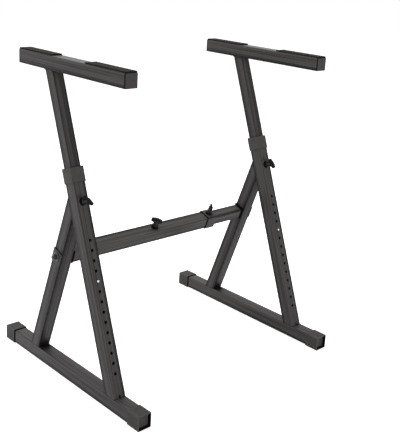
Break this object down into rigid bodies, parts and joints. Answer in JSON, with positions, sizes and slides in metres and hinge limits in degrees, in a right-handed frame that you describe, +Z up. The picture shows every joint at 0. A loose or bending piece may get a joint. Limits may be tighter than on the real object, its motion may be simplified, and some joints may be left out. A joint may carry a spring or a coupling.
{
  "type": "keyboard stand",
  "caption": "Z-shaped keyboard stand of square steel tube: welded side frames, padded arms on posts with snap buttons and clamp knobs, and a telescoping crossbar.",
  "frame": {"origin": "on the floor, midway between the side frames and halfway along the base tubes", "axes": "+Z up, +Y along the arms towards the back, away from the player, +X from the left frame to the right one"},
  "size_m": [0.7138, 0.59, 0.8233],
  "materials": {
    "painted_steel": "satin charcoal powder coat",
    "guide_plastic": "matt dark grey",
    "cap_plastic": "matt dark grey, lightly textured",
    "knob_plastic": "satin black",
    "black_steel": "satin black",
    "pad_rubber": "matt black",
    "button_chrome": "polished",
    "spring_steel": "satin"
  },
  "bodies": {
    "left_side": {"left_base_tube": "painted_steel", "left_front_cap": "cap_plastic", "left_rear_cap": "cap_plastic", "left_front_leg": "painted_steel", "left_leg_sleeve": "guide_plastic", "left_height_boss": "black_steel", "left_rear_leg": "painted_steel", "left_side_plate": "painted_steel", "left_crossbar_washer": "black_steel", "left_crossbar_nut": "black_steel", "left_crossbar_bolt": "black_steel", "left_end_plate": "black_steel", "crossbar_outer_tube": "painted_steel", "crossbar_collar": "guide_plastic", "crossbar_middle_boss": "black_steel", "crossbar_collar_boss": "black_steel"},
    "right_side": {"right_base_tube": "painted_steel", "right_front_cap": "cap_plastic", "right_rear_cap": "cap_plastic", "right_front_leg": "painted_steel", "right_leg_sleeve": "guide_plastic", "right_height_boss": "black_steel", "right_rear_leg": "painted_steel", "right_side_plate": "painted_steel", "right_crossbar_washer": "black_steel", "right_crossbar_nut": "black_steel", "right_crossbar_bolt": "black_steel", "right_end_plate": "black_steel", "crossbar_inner_tube": "painted_steel", "crossbar_inner_plug": "cap_plastic"},
    "left_arm": {"left_post": "painted_steel", "left_post_foot": "cap_plastic", "left_button_spring": "spring_steel", "left_arm_tube": "painted_steel", "left_arm_front_plug": "cap_plastic", "left_arm_rear_plug": "cap_plastic", "left_front_pad": "pad_rubber", "left_rear_pad": "pad_rubber"},
    "right_arm": {"right_post": "painted_steel", "right_post_foot": "cap_plastic", "right_button_spring": "spring_steel", "right_arm_tube": "painted_steel", "right_arm_front_plug": "cap_plastic", "right_arm_rear_plug": "cap_plastic", "right_front_pad": "pad_rubber", "right_rear_pad": "pad_rubber"},
    "left_button": {"left_snap_button": "button_chrome"},
    "right_button": {"right_snap_button": "button_chrome"},
    "left_clamp": {"left_height_knob": "knob_plastic", "left_height_screw": "black_steel"},
    "right_clamp": {"right_height_knob": "knob_plastic", "right_height_screw": "black_steel"},
    "middle_clamp": {"crossbar_middle_knob": "knob_plastic", "crossbar_middle_screw": "black_steel"},
    "collar_clamp": {"crossbar_collar_knob": "knob_plastic", "crossbar_collar_screw": "black_steel"}
  },
  "joints": [
    {"name": "crossbar_slide", "type": "slide", "parent": "left_side", "child": "right_side", "axis": [1, 0, 0], "range_m": [-0.11, 0.13]},
    {"name": "left_height_slide", "type": "slide", "parent": "left_side", "child": "left_arm", "axis": [0, 0.3469, 0.9379], "range_m": [-0.2, 0.1]},
    {"name": "right_height_slide", "type": "slide", "parent": "right_side", "child": "right_arm", "axis": [0, 0.3469, 0.9379], "range_m": [-0.2, 0.1]},
    {"name": "left_button_press", "type": "slide", "parent": "left_arm", "child": "left_button", "axis": [0, 0.9379, -0.3469], "range_m": [0, 0.0045], "stiffness_N_per_m": 1500, "springref_m": -0.003, "deforming": ["left_button_spring"]},
    {"name": "right_button_press", "type": "slide", "parent": "right_arm", "child": "right_button", "axis": [0, 0.9379, -0.3469], "range_m": [0, 0.0045], "stiffness_N_per_m": 1500, "springref_m": -0.003, "deforming": ["right_button_spring"]},
    {"name": "left_height_knob_turn", "type": "hinge", "parent": "left_side", "child": "left_clamp", "pos_m": [-0.3235, -0.03417, 0.48531], "axis": [0, -0.9379, 0.3469], "range_deg": [0, 990]},
    {"name": "right_height_knob_turn", "type": "hinge", "parent": "right_side", "child": "right_clamp", "pos_m": [0.3235, -0.03417, 0.48531], "axis": [0, -0.9379, 0.3469], "range_deg": [0, 990]},
    {"name": "middle_knob_turn", "type": "hinge", "parent": "left_side", "child": "middle_clamp", "pos_m": [-0.0304, 0.0408, 0.3397], "axis": [0, -0.342, 0.9397], "range_deg": [0, 990]},
    {"name": "collar_knob_turn", "type": "hinge", "parent": "left_side", "child": "collar_clamp", "pos_m": [0.1739, 0.0408, 0.3397], "axis": [0, -0.342, 0.9397], "range_deg": [0, 990]}
  ]
}
